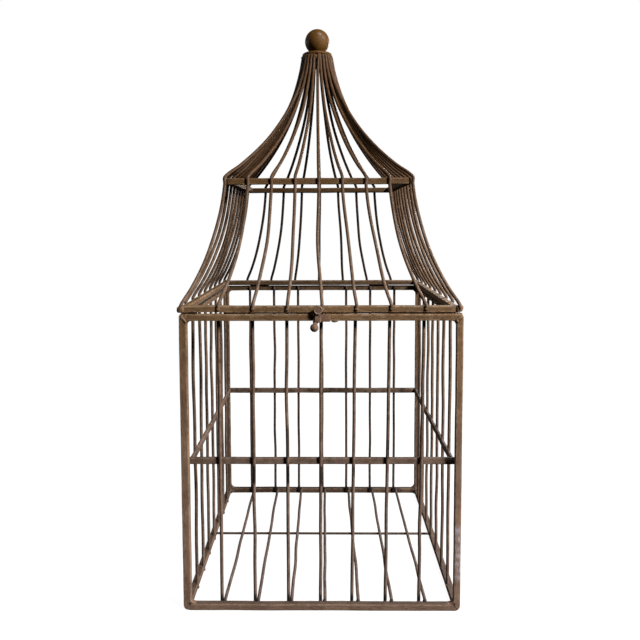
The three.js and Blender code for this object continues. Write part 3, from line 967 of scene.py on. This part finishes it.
def gap_shade_ridges():
    """Black ridges under the front and side bars of the lid, which close the gap below them: painted shade.
    """
    height = lid_low.z - 0.75 * MM
    line = -LID_HALF + BAR - 1.9 * MM
    outline, wear_and_highlight = round_outline(RIDGE_RADIUS)
    for number, stretches in RIDGES.items():
        for start, end in stretches:
            path = straight((start, line, height), (end, line, height), 2 * MM, RIDGE_END)
            path = turned(path, number) + np.array([LID_MIDDLE, 0, 0])
            welds["lid"].sweep(path, outline, wear_and_highlight, (0, 0, 1), RIDGE_END, soot_and_shade=0.95)


def weld_roof():
    """Lumps on the feet of the roof wires."""
    for number, (side, corner) in enumerate(SIDES):
        for step in range(1, WIRES_PER_SIDE + 1):
            foot = centre_line(f"roof_wire_{side}_{step}")[0]
            inward = turned([0, 1, 0], number)
            place = foot + inward * 0.7 * MM + np.array([0, 0, 0.3 * MM])
            half = (1.8 * MM, 1.1 * MM, 1.5 * MM) if number % 2 == 0 else (1.1 * MM, 1.8 * MM, 1.5 * MM)
            lump("lid", place, half, 130 + number * 8 + step, 0.3)
        foot = centre_line(f"roof_wire_corner_{corner}")[0]
        inward = turned([1, 1, 0], number)
        place = foot + inward * 1.1 * MM
        place[2] = lid_low.z + BAR * 0.52
        if corner == "front_right":
            place = place + np.array([0.9, 1.6, 0.2]) * MM
            filler = (lid_high.x - 0.8 * MM, lid_low.y + 3.3 * MM, lid_low.z + BAR / 2)
            lump("lid", filler, np.array([3.3, 3.4, 3.25]) * MM, 177, 0, 0.45)
        lump("lid", place, np.array([3.5, 3.5, 3.4]) * MM, 170 + number, 0.1, 0.6)
    # Painted shade on the weld at the lid's front left corner.
    scorch_and_shade("lid", (lid_low.x - 5 * MM, lid_low.y - 4 * MM, lid_low.z + 3 * MM), 4.2 * MM, 1.0)


def thicken_lever():
    """The small plate that is welded on the front of the lever, above its neck."""
    skin = Skin()
    low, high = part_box("latch_rivet")
    middle = (low.x + high.x) / 2
    outline, wear_and_highlight = rounded_outline(6.4 * MM, 1.3 * MM)
    bottom = (middle - 0.5 * MM, LEVER_FACE, LEVER_PLATE_LOW)
    top = (middle + 0.2 * MM, LEVER_FACE, LEVER_PLATE_HIGH)
    skin.sweep(straight(bottom, top, 0.8 * MM, EDGE_RADIUS), outline, wear_and_highlight, (0, -1, 0), EDGE_RADIUS)
    skin.points[0] = skin.points[0] + ripple(skin.points[0], 5 * MM, 0.2 * MM, 5)
    piece(skin, "plate_lever", "lever", [], "latch_iron")


def weld_crown():
    """Uneven weld metal between the tops of the roof wires, just under the cap."""
    low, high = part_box("crown_cap")
    middle = (low + high) / 2
    draw = np.random.default_rng(9)
    radius = (high.x - low.x) / 2 - 1.1 * MM
    for number in range(CROWN_LUMPS):
        angle = number * 2 * math.pi / CROWN_LUMPS
        drop = draw.uniform(1.5, 4.2) * MM
        place = (middle.x + radius * math.cos(angle), middle.y + radius * math.sin(angle), middle.z - drop)
        half = np.array([2.4, 2.4, draw.uniform(1.9, 3.4)]) * MM
        lump("lid", place, half, 400 + number, draw.choice([0.0, 0.1, 0.35]))
    # A black bead behind the middle front wire: painted shade in the gap between the wires.
    line = centre_line("roof_wire_front_4")
    lower = line[np.argmin(np.abs(line[:, 2] - line[-1, 2] + 18 * MM))]
    start = line[-1] + np.array([-1.6, 1.6, -2]) * MM
    end = lower + np.array([-1.2, 1.8, 0]) * MM
    bead("lid", start, end, 1.5 * MM, 21, 1.0)
    # Painted shade in the slit under the cap.
    scorch_and_shade("lid", (middle.x + 6 * MM, low.y, middle.z - 3.2 * MM), 1.9 * MM, 1.0)
    scorch_and_shade("lid", (middle.x + 9 * MM, low.y + 2.5 * MM, middle.z - 3.2 * MM), 1.7 * MM, 1.0)


def rim_rivet():
    """The raised rim of the rivet's head, pale with a painted highlight."""
    low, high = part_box("latch_rivet")
    middle = (low + high) / 2
    angles = np.linspace(0, 2 * math.pi, 49)[:-1]
    turn, spin = np.meshgrid(angles, np.arange(10) * math.pi / 5, indexing="ij")
    out = (high.x - low.x) / 2 - 0.7 * MM + 0.62 * MM * np.cos(spin)
    rings = np.empty((*turn.shape, 3))
    rings[..., 0] = middle.x + out * np.cos(turn)
    rings[..., 1] = low.y + 0.1 * MM + 0.5 * MM * np.sin(spin)
    rings[..., 2] = middle.z + out * np.sin(turn)
    skin = Skin()
    skin.loft(rings, rings, 0.9, is_loop=True)
    piece(skin, "rim_rivet", "lid", [], "latch_iron")


def scuff_post():
    """Pale scuffs low on the right-hand front post, and a few specks on the ball."""
    draw = np.random.default_rng(4)
    for height in SCUFF_HEIGHTS:
        scuff("body", (SCUFF_LINE + draw.uniform(-2, 1) * MM, -HALF, height), draw.uniform(3, 4.5) * MM)
    ball_low, ball_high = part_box("finial_ball")
    middle = (ball_low + ball_high) / 2
    for across, up in BALL_SPECKS:
        depth = ball_low.y + (across**2 + up**2) / 29 * MM
        scuff("lid", (middle.x + across * MM, depth, middle.z + up * MM), 1.3 * MM, 0.55)


thicken_lever()
weld_crown()
rim_rivet()
scuff_post()
weld_frames()
weld_wall_wires()
weld_strips()
weld_floor()
weld_roof()
gap_shade_ridges()
piece(welds["body"], "weld_metal_body", "body", [], "frame_iron")
piece(welds["lid"], "weld_metal_lid", "lid", [], "frame_iron")

# ---------------------------------------------------------------- making the objects

for entry in waiting:
    make_object(*entry)


def bevelled(node, body, slot, width, angle=35):
    """A copy of a small CAD piece with its edges eased."""
    mesh = bpy.data.meshes.new(f"eased_{node}")
    shell = bmesh.new()
    shell.from_mesh(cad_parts[node].data)
    bmesh.ops.remove_doubles(shell, verts=shell.verts, dist=1e-6)
    bmesh.ops.dissolve_limit(shell, angle_limit=math.radians(1), verts=shell.verts, edges=shell.edges)
    sharp = [edge for edge in shell.edges if edge.calc_face_angle(0) > math.radians(angle)]
    bmesh.ops.bevel(
        shell, geom=sharp, offset=width, segments=3, profile=0.5, affect="EDGES", clamp_overlap=True
    )
    bmesh.ops.triangulate(shell, faces=[face for face in shell.faces if len(face.verts) > 4])
    shell.to_mesh(mesh)
    shell.free()
    points = np.array([vertex.co for vertex in mesh.vertices])
    burnt_and_shaded = spots_at(points, scorch_and_shade_spots[body])
    add_marks(mesh, points, np.zeros(len(points)), burnt_and_shaded, spots_at(points, scuffs[body]))
    finish_object(mesh, f"eased_{node}", body, [node], slot)


bevelled("crown_cap", "lid", "crown_iron", 0.4 * MM)
bevelled("finial_ball", "lid", "crown_iron", 0.3 * MM)
bevelled("latch_rivet", "lid", "latch_iron", 0.35 * MM)
bevelled("latch_lever", "lever", "latch_iron", 0.35 * MM)
bevelled("latch_keeper", "body", "latch_iron", 0.35 * MM)
for hand in ("left", "right"):
    bevelled(f"hinge_barrel_{hand}", "body", "latch_iron", 0.3 * MM)
    bevelled(f"hinge_staple_{hand}", "lid", "latch_iron", 0.2 * MM, 50)

# ---------------------------------------------------------------- room


def make_floor():
    """A round pale floor, a little larger than the cage's shadow."""
    shape = bmesh.new()
    bmesh.ops.create_circle(shape, cap_ends=True, segments=96, radius=FLOOR_RADIUS)
    mesh = bpy.data.meshes.new("floor")
    shape.to_mesh(mesh)
    shape.free()
    material = bpy.data.materials.new("floor")
    material.use_nodes = True
    shader = material.node_tree.nodes["Principled BSDF"]
    shader.inputs["Base Color"].default_value = (0.1, 0.1, 0.1, 1)
    shader.inputs["Roughness"].default_value = 0.9
    shader.inputs["Specular IOR Level"].default_value = 0.1
    shader.inputs["Emission Color"].default_value = (1, 1, 1, 1)
    shader.inputs["Emission Strength"].default_value = 0.96
    mesh.materials.append(material)
    floor = bpy.data.objects.new("floor", mesh)
    floor.visible_diffuse = False
    floor.visible_glossy = False
    bpy.context.scene.collection.objects.link(floor)


LIGHTS_AIM = Vector((0, 0, 0.3))


def make_light(name, place, size, power):
    """A square lamp that shines at the middle of the cage."""
    data = bpy.data.lights.new(name, "AREA")
    data.size = size
    data.energy = power
    lamp = bpy.data.objects.new(name, data)
    lamp.location = place
    direction = LIGHTS_AIM - Vector(place)
    lamp.rotation_euler = direction.to_track_quat("-Z", "Y").to_euler()
    bpy.context.scene.collection.objects.link(lamp)


def make_world():
    """White behind everything, and a softer grey as light."""
    world = bpy.data.worlds.new("studio")
    world.use_nodes = True
    bpy.context.scene.world = world
    nodes = world.node_tree.nodes
    links = world.node_tree.links
    shown = nodes["Background"]
    shown.inputs["Color"].default_value = (1, 1, 1, 1)
    lit = nodes.new("ShaderNodeBackground")
    lit.inputs["Color"].default_value = (0.95, 0.97, 1, 1)
    lit.inputs["Strength"].default_value = 0.02
    path = nodes.new("ShaderNodeLightPath")
    mix = nodes.new("ShaderNodeMixShader")
    links.new(path.outputs["Is Camera Ray"], mix.inputs[0])
    links.new(lit.outputs[0], mix.inputs[1])
    links.new(shown.outputs[0], mix.inputs[2])
    links.new(mix.outputs[0], nodes["World Output"].inputs["Surface"])


make_floor()
make_world()
make_light("main", (0.972, -0.972, 1.3), 0.3, 54)
make_light("edge", (1.65, -0.29, 0.6), 0.3, 20)
make_light("rear_right", (0.9, 1.7, 0.9), 0.5, 22)
make_light("rear_left", (-1.5, 1.0, 0.9), 0.5, 9)
bpy.context.scene.view_settings.view_transform = "Standard"
